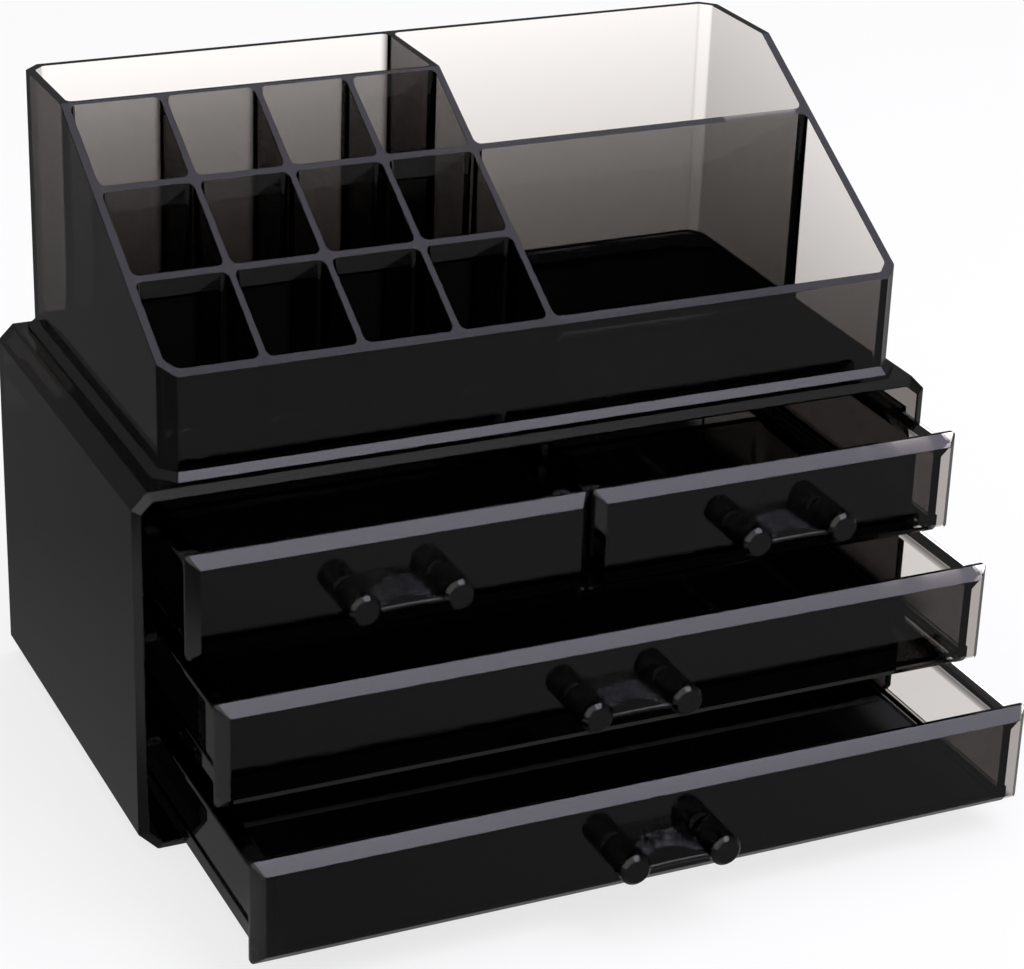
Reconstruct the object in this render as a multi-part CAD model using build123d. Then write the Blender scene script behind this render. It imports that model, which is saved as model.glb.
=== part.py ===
from build123d import *
import os
from math import radians, sqrt, tan

# Makeup organizer of clear smoky plastic: a case with four drawers that hang on side rails,
# and a loose tray with fifteen compartments that stands on the roof.
# Millimetres. +X is right, +Y is the back, +Z is up.
# The origin is the middle of the case's footprint, on the table.

# Softening of the edges that a hand meets
edge_round = 0.4

# Case: an eight-sided tube along Y, open in front
case_width = 238.0
case_depth = 127.0
case_height = 107.0
case_wall = 2.8
roof_chamfer = 4.5
foot_chamfer = 5.5
rim_bevel = 2.2
rim_bevel_depth = 1.4
rim_round = 0.3
back_thickness = 2.8

# Drawer fronts: a plate with a flat edge and a wide bevel on all four sides
panel_edge = 1.4
panel_bevel = 3.1
panel_corner = 1.2
panel_face_corner = 0.3
panel_side_gap = 2.7
panel_roof_gap = 3.7
panel_floor_gap = 5.2
panel_spacing = 1.7
small_panel_gap = 0.9
levels = 3

# Drawer boxes: open in front, where the panel is cemented on, and hung by a lip on each side
box_length = 118.0
box_wall = 2.6
box_floor = 1.7
box_floor_lift = 2.3
box_foot_lift = 0.4
box_end_inset = 4.3
box_corner = 2.5
rim_drop = 3.5
lip_inset = 1.3
lip_edge = 1.1
lip_flat = 0.7
skirt_height = 4.4
skirt_step = 0.6
box_floor_round = 1.2

# Rails
rail_thickness = 2.4
rail_box_gap = 0.6
rail_lip_gap = 0.3
rail_setback = 0.5
centre_web = 2.4

# How far each drawer stands open, from its front flush with the case
open_bottom = 75.3
open_middle = 49.7
open_small = 28.2

# Handles: two posts with a thin web between them
post_diameter = 8.8
post_length = 12.5
post_pitch = 26.3
post_chamfer = 1.0
handle_drop = 1.4
web_thickness = 1.4
web_flat = 0.1
web_reach = 11.0
web_arch_back = 2.9
web_arch_front = 0.4
web_back_rise = 2.7
web_front_rise = -0.2

# Screws from inside the drawer
screw_diameter = 2.8
screw_grip = 7.0
screw_head_diameter = 5.6
screw_head_height = 1.8
screw_slot_length = 3.4
screw_slot_width = 0.8
screw_slot_depth = 0.9
post_bore_gap = 0.1
post_bore_room = 1.0
screw_hole_gap = 0.25

# Tray: one moulding, loose on the roof
tray_width = 219.0
tray_front_inset = 3.5
tray_back_inset = 2.0
tray_height = 78.0
tray_wall = 2.4
tray_floor = 2.4
tray_corner = 4.3
flange_out = 2.0
flange_edge = 1.35
tray_front_height = 30.0
tray_slope = 29.7
divider = 2.0
middle_divider_x = 1.3
grid_columns = 4
grid_rows = 3
grid_depth = 84.1
tray_rim_round = 0.15
cell_corner = 2.0
cell_floor_round = 1.5
cell_draft = 0.6

# A face counts as part of the tray's rim if its normal points up by more than this
rim_lean = 0.5

# Places that follow from the sizes
case_front = -case_depth / 2
case_back_face = case_depth / 2
bay_half = case_width / 2 - case_wall
bay_roof = case_height - case_wall
bay_back = case_back_face - back_thickness
panel_thickness = panel_edge + panel_bevel
full_width = 2 * (bay_half - panel_side_gap)
small_width = (full_width - small_panel_gap) / 2
small_x = (small_width + small_panel_gap) / 2
panel_room = bay_roof - case_wall - panel_roof_gap - panel_floor_gap
panel_height = (panel_room - (levels - 1) * panel_spacing) / levels
level_pitch = panel_height + panel_spacing
top_panel = bay_roof - panel_roof_gap - panel_height
lip_slope = box_end_inset - lip_inset - lip_flat
lip_bottom = panel_height - rim_drop - lip_edge
rail_slope = lip_slope - rail_box_gap
rail_top = lip_bottom - rail_lip_gap
closed_y = case_front + panel_thickness
rail_front = closed_y + rail_setback
tray_front = case_front + tray_front_inset
tray_back = case_back_face - tray_back_inset

# Name, middle in X, panel width, level from the bottom, how far it stands open
drawers = [
    ("drawer_bottom", 0.0, full_width, 0, open_bottom),
    ("drawer_middle", 0.0, full_width, 1, open_middle),
    ("drawer_left", -small_x, small_width, 2, open_small),
    ("drawer_right", small_x, small_width, 2, open_small),
]
level_names = ["bottom", "middle", "top"]


def block(x0, x1, y0, y1, z0, z1):
    """A block between two corners."""
    middle = Pos((x0 + x1) / 2, (y0 + y1) / 2, (z0 + z1) / 2)
    return middle * Box(x1 - x0, y1 - y0, z1 - z0)


def level_z(level):
    """Height of the bottom edge of the panels on one level."""
    return top_panel - (levels - 1 - level) * level_pitch


def inset_chamfer(chamfer_size, inset):
    """Chamfer of an outline that runs parallel inside another."""
    return chamfer_size - inset * (2 - sqrt(2))


def octagon(x0, x1, y0, y1, low_cut, high_cut):
    """Rectangle with cut corners, low_cut at y0 and high_cut at y1."""
    points = [
        (x0, y0 + low_cut),
        (x0 + low_cut, y0),
        (x1 - low_cut, y0),
        (x1, y0 + low_cut),
        (x1, y1 - high_cut),
        (x1 - high_cut, y1),
        (x0 + high_cut, y1),
        (x0, y1 - high_cut),
    ]
    return make_face(Polyline(points, close=True))


def case_section(inset):
    """Section of the case, drawn in by inset, as a face with X across and Y up."""
    half = case_width / 2 - inset
    low_cut = inset_chamfer(foot_chamfer, inset)
    high_cut = inset_chamfer(roof_chamfer, inset)
    return octagon(-half, half, inset, case_height - inset, low_cut, high_cut)


def along_y(section, y_back, length):
    """Extrude a section towards the front, from its back end."""
    return extrude(Plane.XZ.offset(-y_back) * section, amount=length)


def front_to_back(shape):
    """Edges that run between front and back, straight or slanting."""
    return [edge for edge in shape.edges() if abs((edge @ 1 - edge @ 0).Y) > rim_bevel_depth / 2]


def case_shell():
    """Eight-sided tube whose front rim is bevelled steeply outside and rounded inside."""
    shell = along_y(case_section(0), case_back_face, case_depth)
    front = shell.faces().sort_by(Axis.Y)[0]
    shell = chamfer(front.edges(), rim_bevel, rim_bevel_depth, reference=front)
    shell = fillet(front_to_back(shell), edge_round)
    shell -= along_y(case_section(case_wall), case_back_face, case_depth)
    rim = shell.faces().filter_by(Plane.XZ).sort_by(Axis.Y)[0]
    return fillet(rim.inner_wires()[0].edges(), rim_round)


def case_back():
    """Plate that closes the tube, cemented inside its rear end."""
    return along_y(case_section(case_wall), case_back_face, back_thickness)


def side_rail(side, level):
    """Ledge on a side wall, under the lips of one level, with a slope that follows theirs."""
    inner = bay_half - panel_side_gap - box_end_inset + rail_box_gap
    top = level_z(level) + rail_top
    rail = block(inner, bay_half, rail_front, bay_back, top - rail_thickness, top)
    inner_edges = rail.edges().filter_by(Axis.Y).group_by(Axis.X)[0]
    rail = chamfer(inner_edges.sort_by(Axis.Z)[-1], rail_slope)
    return rail if side > 0 else mirror(rail, Plane.YZ)


def centre_rail():
    """Upside-down T under the roof, between the two small drawers, sloped on both sides."""
    reach = small_panel_gap / 2 + box_end_inset - rail_box_gap
    top = level_z(levels - 1) + rail_top
    flange = block(-reach, reach, rail_front, bay_back, top - rail_thickness, top)
    flange = chamfer(flange.edges().filter_by(Axis.Y).group_by(Axis.Z)[-1], rail_slope)
    web = block(-centre_web / 2, centre_web / 2, rail_front, bay_back, top, bay_roof)
    return flange + web


def slab(half, z0, z1, corner):
    """Layer of a drawer box, as long as the box, with its two rear corners rounded."""
    layer = block(-half, half, 0, box_length, z0, z1)
    return fillet(layer.edges().filter_by(Axis.Z).group_by(Axis.Y)[-1], corner)


def lips(half, rim, length):
    """Both lips of a drawer box in one block: flat on top and at the edge, sloping below."""
    tip = half + box_end_inset - lip_inset
    slope = [(half, lip_bottom - lip_slope), (half + lip_slope, lip_bottom)]
    right = slope + [(tip, lip_bottom), (tip, rim)]
    left = [(-x, z) for x, z in reversed(right)]
    bar = along_y(make_face(Polyline(right + left, close=True)), length, length)
    return fillet(bar.edges().filter_by(Axis.Z).group_by(Axis.Y)[-1], lip_flat)


def drawer_box(width):
    """Box behind a panel of this width, open in front and on top.

    The panel's back is y = 0, and the panel's bottom z = 0.
    """
    half = width / 2 - box_end_inset
    rim = panel_height - rim_drop
    corner = box_corner + box_wall
    body = slab(half, box_foot_lift, rim, corner)
    skirt = slab(half + skirt_step, box_foot_lift, box_foot_lift + skirt_height, corner + skirt_step)
    body += fillet(skirt.faces().sort_by(Axis.Z)[-1].edges(), skirt_step / 2)
    body += lips(half, rim, box_length - corner)
    clear = half - box_wall
    end = box_length - box_wall
    inside = block(-clear, clear, -box_wall, end, box_floor_lift + box_floor, rim)
    inside = fillet(inside.edges().filter_by(Axis.Z).group_by(Axis.Y)[-1], box_corner)
    floor_edges = inside.faces().sort_by(Axis.Z)[0].edges()
    inside = fillet([edge for edge in floor_edges if edge.center().Y > 0], box_floor_round)
    below = block(-clear, clear, -box_wall, end, box_foot_lift, box_floor_lift)
    body = body - inside - below
    rim_edges = body.faces().sort_by(Axis.Z)[-1].edges()
    return fillet([edge for edge in rim_edges if edge.center().Y > edge_round], edge_round)


def screw_points():
    """X and Z of the two screws, from the middle of the panel's bottom edge."""
    height = panel_height / 2 - handle_drop
    return [(-post_pitch / 2, height), (post_pitch / 2, height)]


def rods(diameter, y0, y1):
    """Round bars along Y on the two screw axes."""
    bars = []
    for x, z in screw_points():
        bars.append(Pos(x, (y0 + y1) / 2, z) * Rot(90, 0, 0) * Cylinder(diameter / 2, y1 - y0))
    return bars


def screw_holes(y0, y1):
    """Holes with room for the screws, from y0 to y1."""
    return Compound(rods(screw_diameter + 2 * screw_hole_gap, y0, y1))


def drawer_front(width):
    """Bevelled panel. Its back is y = 0 and its bottom z = 0."""
    outline = RectangleRounded(width, panel_height, panel_corner)
    face_width = width - 2 * panel_bevel
    face_height = panel_height - 2 * panel_bevel
    face = RectangleRounded(face_width, face_height, panel_face_corner)
    centred = Plane.XZ * Pos(0, panel_height / 2)
    plate = extrude(centred * outline, amount=panel_edge)
    ends = [centred * Pos(0, 0, panel_edge) * outline, centred * Pos(0, 0, panel_thickness) * face]
    plate += loft(ends, ruled=True)
    plate = fillet(plate.faces().sort_by(Axis.Y)[-1].edges(), edge_round)
    return plate - screw_holes(-panel_thickness, 0)


def web_outline(y, rise, arch):
    """Closed section of the web at one Y: an arched strip between the post axes."""
    half = post_pitch / 2
    low = rise - web_thickness
    top = ThreePointArc((-half, y, rise - arch), (0, y, rise), (half, y, rise - arch))
    bottom = ThreePointArc((half, y, low - arch), (0, y, low), (-half, y, low - arch))
    ends = [Line(top @ 1, bottom @ 0), Line(bottom @ 1, top @ 0)]
    return make_face([top, ends[0], bottom, ends[1]])


def handle():
    """Two posts and the web, with screw bores. It stands on the front of the panel, y = -thickness."""
    base = -panel_thickness
    tip = base - post_length
    shape = None
    for post in rods(post_diameter, tip, base):
        post = chamfer(post.faces().sort_by(Axis.Y)[0].edges(), post_chamfer)
        shape = post if shape is None else shape + post
    height = screw_points()[0][1]
    back = web_outline(base, web_back_rise, web_arch_back)
    front = web_outline(base - web_reach, web_front_rise, web_arch_front)
    web = loft([back, front], ruled=True)
    nose = web.faces().sort_by(Axis.Y)[0].edges().filter_by(GeomType.CIRCLE)
    shape += Pos(0, 0, height) * fillet(nose, web_thickness / 2 - web_flat)
    bore_end = base - screw_grip - post_bore_room
    return shape - Compound(rods(screw_diameter + 2 * post_bore_gap, bore_end, base))


def screws():
    """Two pan-head screws with crossed slots, heads inside the drawer."""
    pair = []
    end = -panel_thickness - screw_grip
    heads = rods(screw_head_diameter, 0, screw_head_height)
    for (x, z), shank, head in zip(screw_points(), rods(screw_diameter, end, 0), heads):
        outer = head.faces().sort_by(Axis.Y)[-1].edges()
        screw = shank + fillet(outer, screw_head_height / 2)
        y = screw_head_height - screw_slot_depth / 2
        for turn in (0, 90):
            slot = Box(screw_slot_length, screw_slot_depth, screw_slot_width)
            screw -= Pos(x, y, z) * Rot(0, turn, 0) * slot
        pair.append(screw)
    return Compound(pair)


def tray_outline(grow):
    """Footprint of the tray, grown outwards."""
    half = tray_width / 2 + grow
    cut = inset_chamfer(tray_corner, -grow)
    return octagon(-half, half, tray_front - grow, tray_back + grow, cut, cut)


def tray_cells():
    """Left, right, front and back of each compartment."""
    left = -tray_width / 2 + tray_wall
    right = tray_width / 2 - tray_wall
    front = tray_front + tray_wall
    back = tray_back - tray_wall
    middle_left = middle_divider_x - divider / 2
    middle_right = middle_divider_x + divider / 2
    grid_back = tray_front + grid_depth - divider / 2
    cell_x = (middle_left - left - (grid_columns - 1) * divider) / grid_columns
    cell_y = (grid_back - front - (grid_rows - 1) * divider) / grid_rows
    cells = []
    for row in range(grid_rows):
        y = front + row * (cell_y + divider)
        for column in range(grid_columns):
            x = left + column * (cell_x + divider)
            cells.append((x, x + cell_x, y, y + cell_y))
    cells.append((left, middle_left, grid_back + divider, back))
    cross = front + (grid_rows - 1) * (cell_y + divider)
    cells.append((middle_right, right, front, cross - divider))
    cells.append((middle_right, right, cross, back))
    return cells


def rim_height(y):
    """Height of the tray's sloped rim at one Y."""
    return min(tray_front_height + (y - tray_front) * tan(radians(tray_slope)), tray_height)


def top_tray():
    """Tray with a flange round its foot, cut by the slope, and its fifteen compartments."""
    body = extrude(tray_outline(0), tray_height)
    body += extrude(tray_outline(flange_out), flange_edge)
    wide = Pos(0, 0, flange_edge) * tray_outline(flange_out)
    narrow = Pos(0, 0, flange_edge + flange_out) * tray_outline(0)
    body += loft([wide, narrow], ruled=True)
    inner = tray_outline(-tray_wall)
    for x0, x1, y0, y1 in tray_cells():
        cell = Pos((x0 + x1) / 2, (y0 + y1) / 2) * Rectangle(x1 - x0, y1 - y0)
        pocket = extrude(Pos(0, 0, tray_floor) * (cell & inner), tray_height)
        rim = Plane.XY.offset(rim_height((y0 + y1) / 2))
        pocket = draft(pocket.faces().filter_by(Axis.Z, reverse=True), neutral_plane=rim, angle=-cell_draft)
        upright = [edge for edge in pocket.edges() if abs((edge @ 1 - edge @ 0).Z) > tray_floor]
        pocket = fillet(upright, cell_corner)
        body -= fillet(pocket.faces().sort_by(Axis.Z)[0].edges(), cell_floor_round)
    run = (tray_height - tray_front_height) / tan(radians(tray_slope))
    corner = tray_front + run
    above = [(tray_front, tray_front_height), (corner, tray_height), (tray_front, tray_height)]
    wedge = make_face(Plane.YZ * Polyline(above, close=True))
    body -= extrude(wedge, amount=tray_width, both=True)
    above_floor = [face for face in body.faces() if face.center().Z > tray_floor + cell_corner]
    rims = [face for face in above_floor if face.normal_at().Z > rim_lean]
    body = fillet(ShapeList(rims).edges(), tray_rim_round)
    return Pos(0, 0, case_height) * body


def save(name, shape):
    """Write one piece to its own file."""
    export_step(shape, f"parts/{name}.step")


os.makedirs("parts", exist_ok=True)
save("case_shell", case_shell())
save("case_back", case_back())
for level, level_name in enumerate(level_names):
    save(f"rail_left_{level_name}", side_rail(-1, level))
    save(f"rail_right_{level_name}", side_rail(1, level))
save("rail_centre", centre_rail())
for name, x, width, level, opening in drawers:
    place = Pos(x, closed_y - opening, level_z(level))
    save(f"{name}_box", place * drawer_box(width))
    save(f"{name}_front", place * drawer_front(width))
    save(f"{name}_handle", place * handle())
    save(f"{name}_screws", place * screws())
save("top_tray", top_tray())
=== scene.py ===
from math import cos, pi, radians, sin

import bpy
from bpy.props import FloatProperty, FloatVectorProperty, PointerProperty
from mathutils import Matrix, Vector


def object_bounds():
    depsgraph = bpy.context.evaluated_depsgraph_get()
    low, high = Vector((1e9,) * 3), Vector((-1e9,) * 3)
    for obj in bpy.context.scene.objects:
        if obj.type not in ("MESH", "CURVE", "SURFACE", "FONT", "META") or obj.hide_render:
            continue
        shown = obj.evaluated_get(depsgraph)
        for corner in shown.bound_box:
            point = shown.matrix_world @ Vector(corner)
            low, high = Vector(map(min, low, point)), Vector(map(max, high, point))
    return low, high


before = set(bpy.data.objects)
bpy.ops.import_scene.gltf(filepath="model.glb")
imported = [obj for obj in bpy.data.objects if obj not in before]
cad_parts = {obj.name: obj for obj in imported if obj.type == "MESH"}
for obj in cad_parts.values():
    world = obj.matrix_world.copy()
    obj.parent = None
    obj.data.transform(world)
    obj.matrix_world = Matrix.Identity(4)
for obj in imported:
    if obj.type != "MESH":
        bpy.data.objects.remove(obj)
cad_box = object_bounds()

bl_info = {
    "name": "Makeup Organizer Finish",
    "version": (1, 0, 0),
    "blender": (4, 5, 0),
    "location": "3D View > Sidebar > Organizer",
    "description": "Finishes, stage and camera of a smoky clear plastic makeup organizer",
    "category": "Object",
}

# The photograph's width in pixels, the camera's sensor in millimetres, and what it sees in metres
PHOTO_WIDTH = 1024
SENSOR_WIDTH = 36.0
NEAREST = 0.01
FURTHEST = 50.0

# Clear plastic: its surface's roughness goes from the polish up by the smudges
REFRACTIVE_INDEX = 1.49
POLISH = 0.004
HANDLE_POLISH = 0.03
SMUDGE_ROUGHNESS = 0.02
SMUDGE_DETAIL = 4.0
RIPPLE_DETAIL = 1.0
FRONT_RIPPLE = 0.5

# Plated screws
GRAIN_SIZE = 0.0008
GRAIN_DETAIL = 3.0
PLATED_ROUGHNESS = 0.3
GRAIN_ROUGHNESS = 0.2

# The table lies just under the case, so that the two faces don't coincide
TABLE_SIZE = 8.0
TABLE_GAP = 0.0001

# Lightness of the table in its own shading: for light from all round, to the camera, through plastic;
# through plastic it is painted darker, as painted shade in the painted shadow
TABLE_LIGHTNESS = 0.8
TABLE_TO_CAMERA = 1.15
TABLE_THROUGH_PAINTED_SHADE = 0.15

# Painted shadow on the table as the plastic shows it: dark under the object, and in a rectangle behind it
SHADOW_REACH = 0.004
REAR_SHADE = ((-0.12, -0.005), (0.155, 0.24))
REAR_SHADE_REACH = 0.015

# Painted light on the table as reflections see it: brighter towards the front and right, and in a rectangle
# at its left front
TILT_REACH = 0.3
SIDE_GLOW = ((-0.24, -0.21), (-0.14, -0.13))
SIDE_GLOW_REACH = 0.05

# Where reflections see the room brighter: round one direction, from this cosine on
FRONT_GLOW_AIM = (-0.37, -0.85, 0.341)
FRONT_GLOW_EDGE = 0.3
ROOM_LIGHTNESS = 0.8

# Size and place of the two lamps overhead
SOFTBOX_SIZE = (1.0, 0.8)
SOFTBOX_PLACE = (0.55, -0.75, 1.3)
CEILING_SIZE = (1.3, 0.75)
CEILING_PLACE = (0.5, 0.04, 1.31)


def length_setting(name, description, default):
    """A setting in metres."""
    return FloatProperty(
        name=name, description=description, default=default, subtype="DISTANCE", unit="LENGTH"
    )


def color_setting(name, description, default):
    """A setting with red, green and blue."""
    return FloatVectorProperty(
        name=name,
        description=description,
        default=default,
        size=3,
        subtype="COLOR",
        min=0.0,
        max=1.0,
    )


def density_setting(name, pieces, default):
    """How dark the plastic of some pieces is beside the tray's."""
    description = f"Darkness of the plastic of {pieces}, beside the tray's"
    return FloatProperty(name=name, description=description, default=default, min=0.1)


class PlasticSettings(bpy.types.PropertyGroup):
    """Colours and textures of the finishes"""

    absorption: FloatVectorProperty(
        name="Absorption",
        description="Light lost in each metre of the plastic, for red, green and blue",
        default=(655.0, 672.0, 682.0),
        size=3,
    )
    case_density: density_setting("Case Density", "the case", 1.45)
    box_density: density_setting("Box Density", "the drawer boxes", 0.97)
    front_density: density_setting("Front Density", "the drawer fronts", 0.8)
    handle_density: density_setting("Handle Density", "the handles", 4.5)
    smudge_size: length_setting("Smudge Size", "Width of one soft smudge", 0.03)
    ripple_size: length_setting("Ripple Size", "Width of a moulding ripple", 0.04)
    ripple_height: length_setting("Ripple Height", "Height of a ripple", 0.00004)
    screw_color: color_setting("Screw Colour", "Dark zinc of the screws", (0.22, 0.22, 0.23))


class StageSettings(bpy.types.PropertyGroup):
    """Light levels and the camera's place"""

    azimuth: FloatProperty(
        name="Azimuth", description="Camera's turn round the object in degrees", default=-25.182
    )
    elevation: FloatProperty(
        name="Elevation", description="Camera's angle above the horizon in degrees", default=24.595
    )
    roll: FloatProperty(
        name="Roll", description="Camera's tilt to one side in degrees", default=1.972
    )
    distance: length_setting("Distance", "From the camera to its target", 0.81908)
    focal_pixels: FloatProperty(
        name="Focal Length", description="In pixels of the photograph", default=3008.6
    )
    target: FloatVectorProperty(
        name="Target",
        description="Point that the middle of the view meets",
        default=(-0.01148, -0.0635, 0.09339),
        size=3,
        subtype="TRANSLATION",
        unit="LENGTH",
    )
    softbox_level: FloatProperty(
        name="Softbox", description="Brightness of the overhead softbox's face", default=3.2
    )
    ceiling_level: FloatProperty(
        name="Ceiling", description="Brightness of the pale ceiling behind the softbox", default=1.3
    )
    softbox_color: color_setting(
        "Softbox Colour", "Slightly violet white of both lamps", (0.87, 0.83, 1.0)
    )
    backlight: FloatProperty(
        name="Backlight",
        description="The overexposed white backdrop as the dark plastic lets it through",
        default=5.8,
    )
    mirror_level: FloatProperty(
        name="Mirror Level", description="Brightness of the room in reflections", default=0.18
    )
    # Painted light: how much brighter the table is painted towards its front and right in reflections
    mirror_tilt: FloatProperty(
        name="Mirror Tilt",
        description="How much brighter the front and right of the table are in reflections",
        default=0.45,
    )
    # Painted light: the brighter patch painted at the table's left front in reflections
    side_glow: FloatProperty(
        name="Side Glow",
        description="Brightness that the table's left front gains in reflections",
        default=0.35,
    )
    front_glow: FloatProperty(
        name="Front Glow",
        description="Brightness that the room's left front gains in reflections",
        default=1.4,
    )
    room_level: FloatProperty(
        name="Room Level", description="Soft light from all round", default=0.7
    )
    shadow_share: FloatProperty(
        name="Shadow Share", description="How much of the table shows shadow", default=0.25
    )


class Wire:
    """A shader socket that takes part in arithmetic."""

    def __init__(self, tree, socket):
        self.tree = tree
        self.socket = socket

    def combine(self, operation, first, second):
        made = self.tree.nodes.new("ShaderNodeMath")
        made.operation = operation
        for socket, value in zip(made.inputs, (first, second)):
            if isinstance(value, Wire):
                self.tree.links.new(value.socket, socket)
            else:
                socket.default_value = value
        return Wire(self.tree, made.outputs[0])

    def __add__(self, other):
        return self.combine("ADD", self, other)

    def __radd__(self, other):
        return self.combine("ADD", other, self)

    def __sub__(self, other):
        return self.combine("SUBTRACT", self, other)

    def __rsub__(self, other):
        return self.combine("SUBTRACT", other, self)

    def __mul__(self, other):
        return self.combine("MULTIPLY", self, other)

    def __gt__(self, other):
        return self.combine("GREATER_THAN", self, other)


class Shader:
    """Builds the nodes of one material or world."""

    def __init__(self, owner):
        owner.use_nodes = True
        self.tree = owner.node_tree
        self.tree.nodes.clear()

    def node(self, kind, sockets=None, **settings):
        """A node: its settings come first, then its sockets' values or links, by name or number."""
        made = self.tree.nodes.new(kind)
        for key, value in settings.items():
            setattr(made, key, value)
        for key, value in (sockets or {}).items():
            if isinstance(value, Wire):
                self.tree.links.new(value.socket, made.inputs[key])
            else:
                made.inputs[key].default_value = value
        return made

    def wire(self, kind, sockets=None, output=0, **settings):
        """One output of a new node."""
        return Wire(self.tree, self.node(kind, sockets, **settings).outputs[output])

    def coordinates(self, system):
        """Where a point lies, in one coordinate system."""
        return self.wire("ShaderNodeTexCoord", output=system)

    def noise(self, size, detail):
        """Soft noise over the surface, with features of one size in metres."""
        place = self.coordinates("Object")
        return self.wire(
            "ShaderNodeTexNoise", {"Vector": place, "Scale": 1 / size, "Detail": detail}
        )

    def vector_math(self, operation, first, second=None, output=0):
        """One step of vector arithmetic."""
        sockets = {0: first} if second is None else {0: first, 1: second}
        return self.wire("ShaderNodeVectorMath", sockets, output, operation=operation)


class Rays:
    """Which kind of ray asks for a colour: 1 or 0 each."""

    def __init__(self, shader):
        path = shader.node("ShaderNodeLightPath")
        wires = {name: Wire(shader.tree, path.outputs[name]) for name in path.outputs.keys()}
        scattered = wires["Diffuse Depth"] > 0.5
        reflected = (wires["Glossy Depth"] > 0.5) * (1 - scattered)
        self.camera = wires["Is Camera Ray"]
        self.mirror = reflected
        self.through = wires["Is Transmission Ray"] * (1 - scattered) * (1 - reflected)
        self.diffuse = wires["Is Diffuse Ray"]


def smoky_plastic(name, settings, density=1.0, polish=POLISH, ripple=1.0):
    """Clear plastic with a smoky tint: polished, with faint smudges and a moulding's slight ripple."""
    material = bpy.data.materials.new(name)
    shader = Shader(material)
    smudge = shader.noise(settings.smudge_size, SMUDGE_DETAIL)
    height = shader.noise(settings.ripple_size, RIPPLE_DETAIL)
    bump = shader.wire(
        "ShaderNodeBump",
        {"Strength": 1.0, "Distance": settings.ripple_height * ripple, "Height": height},
    )
    surface = shader.wire(
        "ShaderNodeBsdfPrincipled",
        {
            "Base Color": (1.0, 1.0, 1.0, 1.0),
            "Roughness": polish + smudge * SMUDGE_ROUGHNESS,
            "IOR": REFRACTIVE_INDEX,
            "Transmission Weight": 1.0,
            "Normal": bump,
        },
    )
    most = max(settings.absorption)
    tint = [1 - value / most for value in settings.absorption]
    body = shader.wire(
        "ShaderNodeVolumeAbsorption", {"Color": (*tint, 1.0), "Density": most * density}
    )
    shader.node("ShaderNodeOutputMaterial", {"Surface": surface, "Volume": body})
    return material


def dark_zinc(name, settings):
    """Brushed dark plating of the screws."""
    material = bpy.data.materials.new(name)
    shader = Shader(material)
    grain = shader.noise(GRAIN_SIZE, GRAIN_DETAIL)
    surface = shader.wire(
        "ShaderNodeBsdfPrincipled",
        {
            "Base Color": (*settings.screw_color, 1.0),
            "Metallic": 1.0,
            "Roughness": PLATED_ROUGHNESS + grain * GRAIN_ROUGHNESS,
        },
    )
    shader.node("ShaderNodeOutputMaterial", {"Surface": surface})
    return material


def paint(material, *marks):
    """Give one material to the CAD pieces whose names start or end so."""
    for name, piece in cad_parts.items():
        if name.startswith(marks) or name.endswith(marks):
            piece.data.materials.clear()
            piece.data.materials.append(material)


class ORGANIZER_OT_case(bpy.types.Operator):
    """Finish the case, its back and its rails"""

    bl_idname = "organizer.case"
    bl_label = "Finish Case"

    def execute(self, context):
        settings = context.scene.organizer_plastic
        paint(smoky_plastic("case_plastic", settings, settings.case_density), "case_", "rail_")
        return {"FINISHED"}


class ORGANIZER_OT_tray(bpy.types.Operator):
    """Finish the loose compartment tray"""

    bl_idname = "organizer.tray"
    bl_label = "Finish Tray"

    def execute(self, context):
        paint(smoky_plastic("tray_plastic", context.scene.organizer_plastic), "top_tray")
        return {"FINISHED"}


class ORGANIZER_OT_drawers(bpy.types.Operator):
    """Finish the drawer boxes and their bevelled fronts"""

    bl_idname = "organizer.drawers"
    bl_label = "Finish Drawers"

    def execute(self, context):
        settings = context.scene.organizer_plastic
        box = smoky_plastic("drawer_box_plastic", settings, settings.box_density)
        front = smoky_plastic(
            "drawer_front_plastic", settings, settings.front_density, ripple=FRONT_RIPPLE
        )
        paint(box, "_box")
        paint(front, "_front")
        return {"FINISHED"}


class ORGANIZER_OT_handles(bpy.types.Operator):
    """Finish the handles and their screws"""

    bl_idname = "organizer.handles"
    bl_label = "Finish Handles"

    def execute(self, context):
        settings = context.scene.organizer_plastic
        handle = smoky_plastic(
            "handle_plastic", settings, settings.handle_density, HANDLE_POLISH, ripple=0.0
        )
        paint(handle, "_handle")
        paint(dark_zinc("screw_zinc", settings), "_screws")
        return {"FINISHED"}


def clear_of(shader, place, low, high, reach):
    """0 on one rectangle of the table, and 1 from a little way off it."""
    middle = [(low[axis] + high[axis]) / 2 for axis in range(2)]
    half = [(high[axis] - low[axis]) / 2 for axis in range(2)]
    offset = shader.vector_math("SUBTRACT", place, (*middle, 0.0))
    apart = shader.vector_math("ABSOLUTE", offset)
    beyond = shader.vector_math("SUBTRACT", apart, (*half, 0.0))
    outside = shader.vector_math("MAXIMUM", beyond, (0.0, 0.0, 0.0))
    distance = shader.vector_math("LENGTH", outside, output="Value")
    return shader.wire(
        "ShaderNodeMapRange",
        {"Value": distance, "From Max": reach},
        interpolation_type="SMOOTHSTEP",
    )


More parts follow.
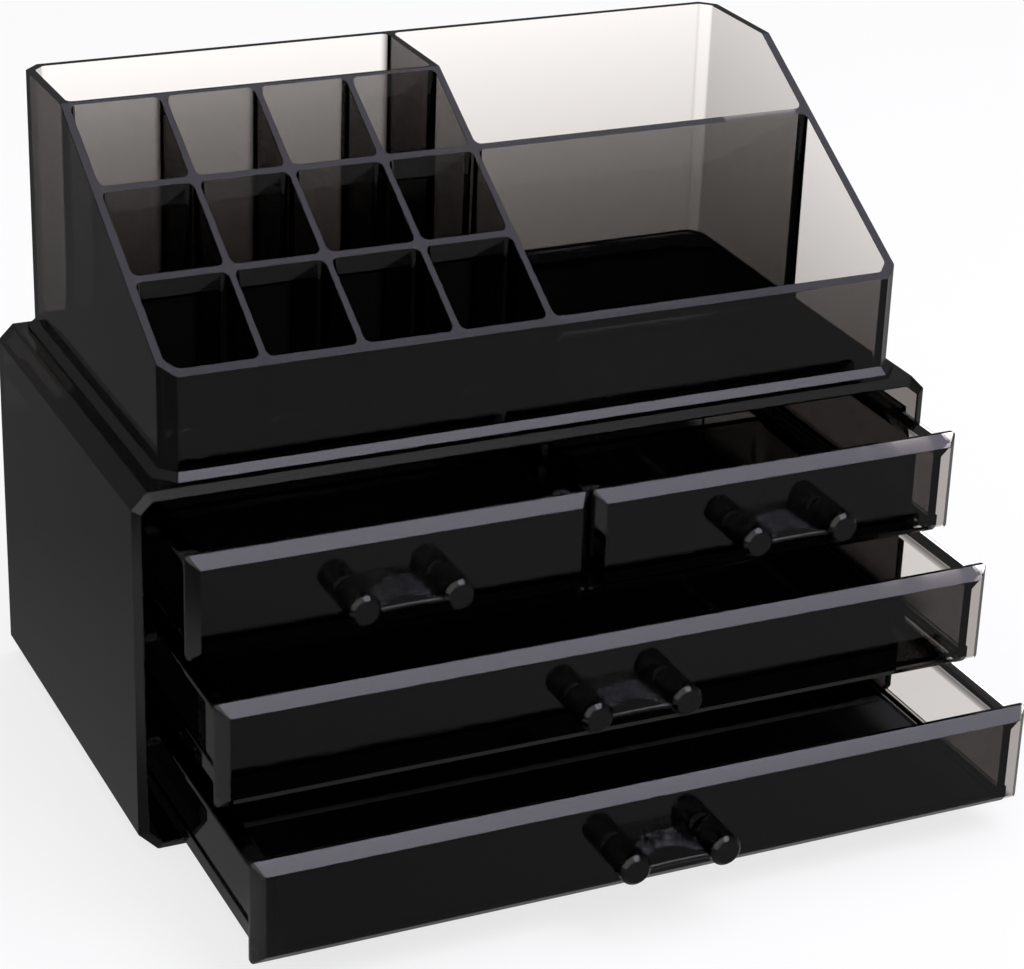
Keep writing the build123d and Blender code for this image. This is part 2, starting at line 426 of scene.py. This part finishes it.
def add_floor(settings):
    """A wide pale table: it keeps the shadow, and plastic and reflections see it their own way, with painted
    shadow under and behind the object and painted light at its front, right and left front.
    """
    bpy.ops.mesh.primitive_plane_add(size=TABLE_SIZE, location=(0, 0, -TABLE_GAP))
    floor = bpy.context.object
    floor.name = "floor"
    material = bpy.data.materials.new("pale_table")
    shader = Shader(material)
    rays = Rays(shader)
    place = shader.coordinates("Object")
    parts = shader.node("ShaderNodeSeparateXYZ", {"Vector": place})
    rightwards = Wire(shader.tree, parts.outputs["X"]) - Wire(shader.tree, parts.outputs["Y"])
    # Painted light: reflections see the table brighter towards its front and right
    painted_light_tilt = shader.wire(
        "ShaderNodeMapRange",
        {
            "Value": rightwards,
            "From Min": -TILT_REACH,
            "From Max": TILT_REACH,
            "To Min": settings.mirror_level * (1 - settings.mirror_tilt),
            "To Max": settings.mirror_level * (1 + settings.mirror_tilt),
        },
    )
    # Painted light: reflections see a brighter patch at the table's left front
    painted_side_light = (1 - clear_of(shader, place, *SIDE_GLOW, SIDE_GLOW_REACH)) * settings.side_glow
    level = rays.camera + rays.mirror * (painted_light_tilt + painted_side_light) + rays.through * settings.backlight
    glow = shader.wire("ShaderNodeEmission", {"Strength": level})
    lightness = TABLE_LIGHTNESS + rays.camera * (TABLE_TO_CAMERA - TABLE_LIGHTNESS)
    # Painted shade: through plastic the table's colour drops to the darker value
    lightness = lightness + rays.through * (TABLE_THROUGH_PAINTED_SHADE - TABLE_LIGHTNESS)
    matte = shader.wire("ShaderNodeBsdfDiffuse", {"Color": lightness})
    # Painted shadow seen through the plastic: dark under the object's box and in the rectangle behind it
    under = clear_of(shader, place, *cad_box, SHADOW_REACH)
    behind = clear_of(shader, place, *REAR_SHADE, REAR_SHADE_REACH)
    share = rays.camera * (1 - settings.shadow_share) + rays.mirror + rays.through * under * behind
    surface = shader.wire("ShaderNodeMixShader", {0: share, 1: matte, 2: glow})
    shader.node("ShaderNodeOutputMaterial", {"Surface": surface})
    floor.data.materials.append(material)


def add_softbox(name, level, color, size, place):
    """A rectangular lamp that faces down. The level is the brightness of its face."""
    lamp = bpy.data.lights.new(name, "AREA")
    lamp.shape = "RECTANGLE"
    lamp.size, lamp.size_y = size
    lamp.energy = level * pi * size[0] * size[1]
    lamp.color = color
    rig = bpy.data.objects.new(name, lamp)
    rig.location = place
    bpy.context.collection.objects.link(rig)


def set_world(settings):
    """A white room. Reflections see it darker, and plastic lets it through as overexposed."""
    world = bpy.data.worlds.new("studio")
    shader = Shader(world)
    rays = Rays(shader)
    direction = shader.coordinates("Generated")
    cosine = shader.vector_math("DOT_PRODUCT", direction, FRONT_GLOW_AIM, "Value")
    mirror = shader.wire(
        "ShaderNodeMapRange",
        {
            "Value": cosine,
            "From Min": FRONT_GLOW_EDGE,
            "To Min": settings.mirror_level,
            "To Max": settings.mirror_level + settings.front_glow,
        },
        interpolation_type="SMOOTHSTEP",
    )
    level = rays.camera * (1 / ROOM_LIGHTNESS) + rays.mirror * mirror
    level = level + rays.through * settings.backlight + rays.diffuse * settings.room_level
    grey = (ROOM_LIGHTNESS, ROOM_LIGHTNESS, ROOM_LIGHTNESS, 1.0)
    room = shader.wire("ShaderNodeBackground", {"Color": grey, "Strength": level})
    shader.node("ShaderNodeOutputWorld", {"Surface": room})
    bpy.context.scene.world = world


def add_camera(settings):
    """The photograph's camera."""
    azimuth, elevation = radians(settings.azimuth), radians(settings.elevation)
    roll = radians(settings.roll)
    level = Vector((-sin(azimuth), cos(azimuth), 0.0))
    ahead = level * cos(elevation) - Vector((0.0, 0.0, sin(elevation)))
    right = ahead.cross(Vector((0, 0, 1))).normalized()
    up = right.cross(ahead)
    tilted_right = right * cos(roll) + up * sin(roll)
    tilted_up = up * cos(roll) - right * sin(roll)
    lens = bpy.data.cameras.new("camera")
    lens.sensor_fit = "HORIZONTAL"
    lens.sensor_width = SENSOR_WIDTH
    lens.lens = settings.focal_pixels * SENSOR_WIDTH / PHOTO_WIDTH
    lens.clip_start = NEAREST
    lens.clip_end = FURTHEST
    camera = bpy.data.objects.new("camera", lens)
    turn = Matrix((tilted_right, tilted_up, -ahead)).transposed().to_4x4()
    place = Vector(settings.target) - ahead * settings.distance
    camera.matrix_world = Matrix.Translation(place) @ turn
    bpy.context.collection.objects.link(camera)
    bpy.context.scene.camera = camera


class ORGANIZER_OT_stage(bpy.types.Operator):
    """Set up the table, the lamps, the room and the camera"""

    bl_idname = "organizer.stage"
    bl_label = "Set Stage"

    def execute(self, context):
        settings = context.scene.organizer_stage
        add_floor(settings)
        color = settings.softbox_color
        add_softbox("softbox", settings.softbox_level, color, SOFTBOX_SIZE, SOFTBOX_PLACE)
        add_softbox("pale_ceiling", settings.ceiling_level, color, CEILING_SIZE, CEILING_PLACE)
        set_world(settings)
        add_camera(settings)
        context.scene.view_settings.view_transform = "Standard"
        return {"FINISHED"}


class ORGANIZER_PT_panel(bpy.types.Panel):
    """Buttons and sizes of the organizer"""

    bl_idname = "ORGANIZER_PT_panel"
    bl_label = "Makeup Organizer"
    bl_space_type = "VIEW_3D"
    bl_region_type = "UI"
    bl_category = "Organizer"

    def draw(self, context):
        layout = self.layout
        for group in (context.scene.organizer_plastic, context.scene.organizer_stage):
            for name in group.__annotations__:
                layout.prop(group, name)
        for operator in OPERATORS:
            layout.operator(operator.bl_idname)


OPERATORS = (
    ORGANIZER_OT_case,
    ORGANIZER_OT_tray,
    ORGANIZER_OT_drawers,
    ORGANIZER_OT_handles,
    ORGANIZER_OT_stage,
)
CLASSES = (PlasticSettings, StageSettings, *OPERATORS, ORGANIZER_PT_panel)


def register():
    for item in CLASSES:
        bpy.utils.register_class(item)
    bpy.types.Scene.organizer_plastic = PointerProperty(type=PlasticSettings)
    bpy.types.Scene.organizer_stage = PointerProperty(type=StageSettings)


def unregister():
    del bpy.types.Scene.organizer_stage
    del bpy.types.Scene.organizer_plastic
    for item in reversed(CLASSES):
        bpy.utils.unregister_class(item)


def main():
    register()
    bpy.ops.object.select_all(action="DESELECT")
    bpy.ops.organizer.case()
    bpy.ops.organizer.tray()
    bpy.ops.organizer.drawers()
    bpy.ops.organizer.handles()
    bpy.ops.organizer.stage()


if __name__ == "__main__":
    main()
